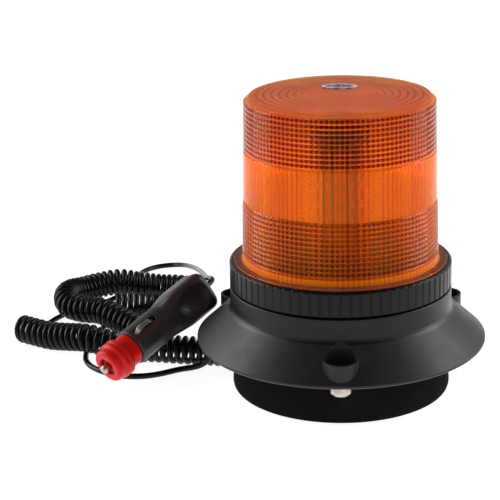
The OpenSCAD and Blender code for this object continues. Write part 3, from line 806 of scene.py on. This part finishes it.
def make_boot():
    """The rubber cup round the magnet, with a soft belly."""
    r, h, mouth_r, bore_r, shelf_z, floor_z = 56.8, 24, 50.1, 53.1, 17.1, 1.5
    profile = rounded(mm_profile([
        (0, 0), (r - 2.3, 0, 1), (r - 0.6, 0.9, 1), (r, 3, 1), (r - 0.4, 8, 2), (r - 1.1, 15, 2),
        (r - 1.3, 20, 1), (r - 1.3, h - 0.3, 0.6), (r - 2.4, h, 0.4), (mouth_r, h, 0), (mouth_r, shelf_z, 0),
        (bore_r, shelf_z, 0), (bore_r, floor_z, 0), (0, floor_z)]), 0.3 * MM, 4)
    points, faces = lathe(profile, 240)
    piece("magnet_boot_rubber", points, faces, "rubber_black", "root", ["magnet_boot"], degrees=40)


make_boot()


# ---------------------------------------------------------------- plug

# All in millimetres. The handle along the plug: its start, the end of its round barrel, where its flat-sided
# grip is full, where its end starts to round off, and its end
HANDLE_START, BARREL_END, GRIP_FULL, ROUNDING_START, HANDLE_END = 18.3, 42, 57, 70, 76.0
BARREL_R = 10.0
# The grip's half depth and half width, and the powers of the section's outline in the barrel and in the grip
GRIP_DEEP, GRIP_WIDE = 10.2, 11.2
BARREL_POWER, GRIP_POWER = 2.0, 4.6
# How wide the handle's rounded end is beside the grip, and how late it rounds off
END_SHARE, END_POWER = 0.62, 2.4
# Each thumb recess is cut by an ellipsoid: its half axes, where it stands, and how soft its edge is
THUMB_LONG, THUMB_SIDE, THUMB_DEEP = 14.8, 10.6, 11.0
THUMB_X, THUMB_AWAY = 61.5, 17.4
THUMB_EDGE = 0.12
# The slots that the contacts come through
SLOT_START, SLOT_END, SLOT_HALF = 20.3, 36.8, 1.9


def blend_steps(x, stops):
    """A smooth curve through (x, value) stops."""
    for (a, u), (b, v) in zip(stops, stops[1:]):
        if x <= b:
            return u + (v - u) * ease(clamp((x - a) / (b - a)))
    return stops[-1][1]


def thumb_recess(r, x, c, s):
    """The radius r, cut back where the ellipsoid of the thumb recess reaches below it. c and s are the cosine
    and sine of the angle from the recess."""
    qa = (s / THUMB_SIDE) ** 2 + (c / THUMB_DEEP) ** 2
    qb = -2 * THUMB_AWAY * c / THUMB_DEEP ** 2
    qc = ((x - THUMB_X) / THUMB_LONG) ** 2 + (THUMB_AWAY / THUMB_DEEP) ** 2 - 1
    inside = qb * qb - 4 * qa * qc
    if inside <= 0:
        return r
    gap = r - (-qb - math.sqrt(inside)) / (2 * qa)
    if gap <= -THUMB_EDGE:
        return r
    if gap < THUMB_EDGE:
        return r - (gap + THUMB_EDGE) ** 2 / (4 * THUMB_EDGE)
    return r - gap


def handle_radius(x, angle):
    """Radius of the handle at x, at an angle from the grip direction: flat-sided grip, thumb recesses."""
    deep = blend_steps(x, [(HANDLE_START, BARREL_R), (BARREL_END, BARREL_R), (GRIP_FULL, GRIP_DEEP)])
    wide = blend_steps(x, [(HANDLE_START, BARREL_R), (BARREL_END, BARREL_R), (GRIP_FULL, GRIP_WIDE)])
    power = blend_steps(x, [(HANDLE_START, BARREL_POWER), (BARREL_END - 1, BARREL_POWER),
                            (GRIP_FULL - 1, GRIP_POWER)])
    c, s = abs(math.cos(angle)), abs(math.sin(angle))
    r = ((c / deep) ** power + (s / wide) ** power) ** (-1 / power)
    if x > ROUNDING_START:
        t = min(1, (x - ROUNDING_START) / (HANDLE_END - ROUNDING_START))
        r *= END_SHARE + (1 - END_SHARE) * math.sqrt(max(0, 1 - t ** END_POWER))
    return thumb_recess(r, x, c, s)


def make_handle():
    """Both halves of the handle as one skin, with the seam between them and the two contact slots."""
    around, steps = 176, 150
    seam = 0.22
    length = HANDLE_END - HANDLE_START
    stations = [(HANDLE_START, -0.4), (HANDLE_START + 0.12, -0.12)]
    stations += [(HANDLE_START + length * k / steps, 0) for k in range(1, steps + 1)]
    at = rolled(GRIP_ROLL)
    points = []
    for x, less in stations:
        for k in range(around):
            angle = TAU * k / around
            r = handle_radius(x, angle) + less
            if abs(math.cos(angle)) < 0.01:
                r -= seam
            points.append(at @ (Vector((x, -r * math.sin(angle), r * math.cos(angle))) * MM))
    handle = piece("plug_handle", points, tube_faces(len(stations), around), "plug_black", "root",
                   ["plug_shell_front", "plug_shell_back"], degrees=35)
    for turn in (0, 180):
        cutter = slot_cutter(CONTACT_ROLL + turn)
        cut = handle.modifiers.new("slot", "BOOLEAN")
        cut.object = cutter
        cut.solver = "EXACT"
        apply_modifiers(handle)
        bpy.data.objects.remove(cutter)
    shade(handle.data, 35)


def slot_cutter(roll):
    """A long box with rounded ends, where a contact comes through the barrel."""
    half, low, high = SLOT_HALF, 5.8, 14
    outline = []
    for middle, start in ((SLOT_END - half, -90), (SLOT_START + half, 90)):
        for degrees in range(0, 181, 20):
            angle = math.radians(start + degrees)
            outline.append((middle + half * math.cos(angle), half * math.sin(angle)))
    at = rolled(roll)
    points = [at @ (Vector((x, y, z)) * MM) for z in (low, high) for x, y in outline]
    mesh = bpy.data.meshes.new("slot_cutter")
    mesh.from_pydata(points, [], tube_faces(2, len(outline)))
    cutter = bpy.data.objects.new("slot_cutter", mesh)
    bpy.context.scene.collection.objects.link(cutter)
    return cutter


def apply_modifiers(obj):
    """The mesh as its modifiers leave it becomes the mesh itself."""
    graph = bpy.context.evaluated_depsgraph_get()
    made = bpy.data.meshes.new_from_object(obj.evaluated_get(graph))
    old = obj.data
    obj.modifiers.clear()
    obj.data = made
    bpy.data.meshes.remove(old)


def make_cap():
    """The red adapter cap: lip, stepped barrel and flange."""
    profile = rounded(mm_profile([
        (5.0, 0.4, 0.4), (5.5, 0, 0.4), (8.3, 0, 0.6), (9.35, 1.2, 1.0), (9.35, 4.6, 0.4), (10.4, 5.7, 0.5),
        (10.4, 8.0, 0.2), (10.05, 8.25, 0.1), (10.05, 8.55, 0.1), (10.4, 8.8, 0.2), (10.4, 10.7, 0.5),
        (9.3, 11.8, 0.5), (8.8, 13.2, 0.6), (8.8, 17.6, 0.3), (8.6, 18, 0), (6.05, 18, 0),
        (6.05, 1.8, 0), (5.0, 1.8, 0.2)]), 0.3 * MM, 5)
    points, faces = lathe(profile, 128)
    piece("red_cap", points, faces, "cap_red", "cap", ["adapter_cap"], at=ALONG_PLUG)


def make_pin():
    """The centre pin: round tip, shank, and the collar that keeps it in."""
    shank_r, collar_r, collar_z, rear = 2.3, 3.3, 4.3, 5.8
    profile = [(0, -3.5, 0), (0.9, -3.5, 0.4), (1.9, -3.0, 0.7), (shank_r, -2.1, 0.5),
               (shank_r, collar_z, 0.1), (collar_r, collar_z, 0.1), (collar_r, rear, 0.1), (0, rear, 0)]
    points, faces = lathe(rounded(mm_profile(profile), 0, 4), 64)
    piece("sprung_pin", points, faces, "nickel", "pin", ["centre_pin"], at=ALONG_PLUG)


def make_spring():
    """The coil spring behind the pin."""
    start, end, radius, wire, turns = 6.2 * MM, 11.1 * MM, 2.65 * MM, 0.3 * MM, 5
    around, sides = 24, 8
    count = turns * around
    points = []
    for i in range(count + 1):
        c, s = math.cos(TAU * i / around), math.sin(TAU * i / around)
        out = Vector((0, c, s))
        centre = Vector((start + (end - start) * i / count, radius * c, radius * s))
        for k in range(sides):
            turn = TAU * k / sides
            aside = math.cos(turn) * out + Vector((math.sin(turn), 0, 0))
            points.append(IN_PLUG @ (centre + wire * aside))
    spring = piece("pin_coil", points, tube_faces(count + 1, sides), "zinc_steel", "root", ["pin_spring"],
                   degrees=60)
    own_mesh(spring)


def make_leaf(name, roll, body, node):
    """A sprung strip that bows out of its slot."""
    bow = [(21, 7.8), (22.8, 8.6), (24.8, 9.9), (26.8, 10.6), (28.3, 10.75), (29.8, 10.7), (31.8, 10.2),
           (33.8, 9.0), (35.8, 7.8)]
    line = smooth_line([Vector((x, 0, z)) * MM for x, z in bow], 0.35 * MM)
    at = rolled(roll)
    half, thick, bulge, crown = 1.5 * MM, 0.25 * MM, 0.05 * MM, 0.325 * MM
    section = [(-half, -thick), (half, -thick), (half + bulge, 0), (half, thick), (half / 2, crown),
               (-half / 2, crown), (-half, thick), (-half - bulge, 0)]
    points = []
    for i, p in enumerate(line):
        along = (line[min(i + 1, len(line) - 1)] - line[max(i - 1, 0)]).normalized()
        out = Vector((-along.z, 0, along.x))
        points += [at @ (p + Vector((0, y, 0)) + out * h) for y, h in section]
    piece(name, points, tube_faces(len(line), len(section)), "nickel", body, [node], degrees=40)


make_handle()
make_cap()
make_pin()
make_spring()
make_leaf("upper_leaf", CONTACT_ROLL, "upper_contact", "side_contact_upper")
make_leaf("lower_leaf", CONTACT_ROLL + 180, "lower_contact", "side_contact_lower")


# ---------------------------------------------------------------- studio

def make_floor():
    """A pale plain sheet that gives off most of its white itself, as even as the photograph's ground."""
    half = 4.0
    corners = [(-half, -half, 0), (half, -half, 0), (half, half, 0), (-half, half, 0)]
    mesh = bpy.data.meshes.new("floor")
    mesh.from_pydata(corners, [], [(0, 1, 2, 3)])
    floor = bpy.data.objects.new("floor", mesh)
    bpy.context.scene.collection.objects.link(floor)
    t = Tree("floor_paper")
    t.set(Base_Color=t.mix(t.noise(6, 2), rgb(0.3, 0.3, 0.3), rgb(0.32, 0.32, 0.32)), Roughness=0.9,
          Specular_IOR_Level=0.0, Emission_Color=rgb(1, 1, 1), Emission_Strength=0.93)
    mesh.materials.append(t.material)


def make_box_light(name, x):
    """A soft box at that side, turned towards the beacon."""
    data = bpy.data.lights.new(name, "AREA")
    data.shape = "RECTANGLE"
    data.size, data.size_y = 0.5, 0.7
    data.energy = 5
    lamp = bpy.data.objects.new(name, data)
    lamp.location = (x, 0.2, 0.42)
    lamp.rotation_mode = "QUATERNION"
    lamp.rotation_quaternion = (Vector((0, 0, 0.08)) - lamp.location).to_track_quat("-Z", "Y")
    bpy.context.scene.collection.objects.link(lamp)


def make_world():
    """White low down at both sides, falling off to a darker ceiling, front and back."""
    world = bpy.data.worlds.new("studio")
    bpy.context.scene.world = world
    world.use_nodes = True
    nodes, links = world.node_tree.nodes, world.node_tree.links
    split = nodes.new("ShaderNodeSeparateXYZ")
    links.new(nodes.new("ShaderNodeTexCoord").outputs["Generated"], split.inputs[0])
    aside = nodes.new("ShaderNodeMath")
    aside.operation = "ABSOLUTE"
    links.new(split.outputs["X"], aside.inputs[0])
    falls = []
    for way, low, high, dim, bright in ((split.outputs["Z"], 0.85, 0.25, 0.3, 0.95),
                                        (aside.outputs[0], 0.25, 0.85, 0.3, 1.05)):
        fall = nodes.new("ShaderNodeMapRange")
        fall.interpolation_type = "SMOOTHSTEP"
        links.new(way, fall.inputs["Value"])
        for name, value in (("From Min", low), ("From Max", high), ("To Min", dim), ("To Max", bright)):
            fall.inputs[name].default_value = value
        falls.append(fall.outputs["Result"])
    both = nodes.new("ShaderNodeMath")
    both.operation = "MULTIPLY"
    for fall, socket in zip(falls, both.inputs):
        links.new(fall, socket)
    back = nodes["Background"]
    back.inputs["Color"].default_value = (1, 1, 1, 1)
    links.new(both.outputs[0], back.inputs["Strength"])


make_floor()
make_world()
make_box_light("left_box", -0.8)
make_box_light("right_box", 0.8)
bpy.context.scene.view_settings.view_transform = "Standard"

bpy.context.view_layer.update()
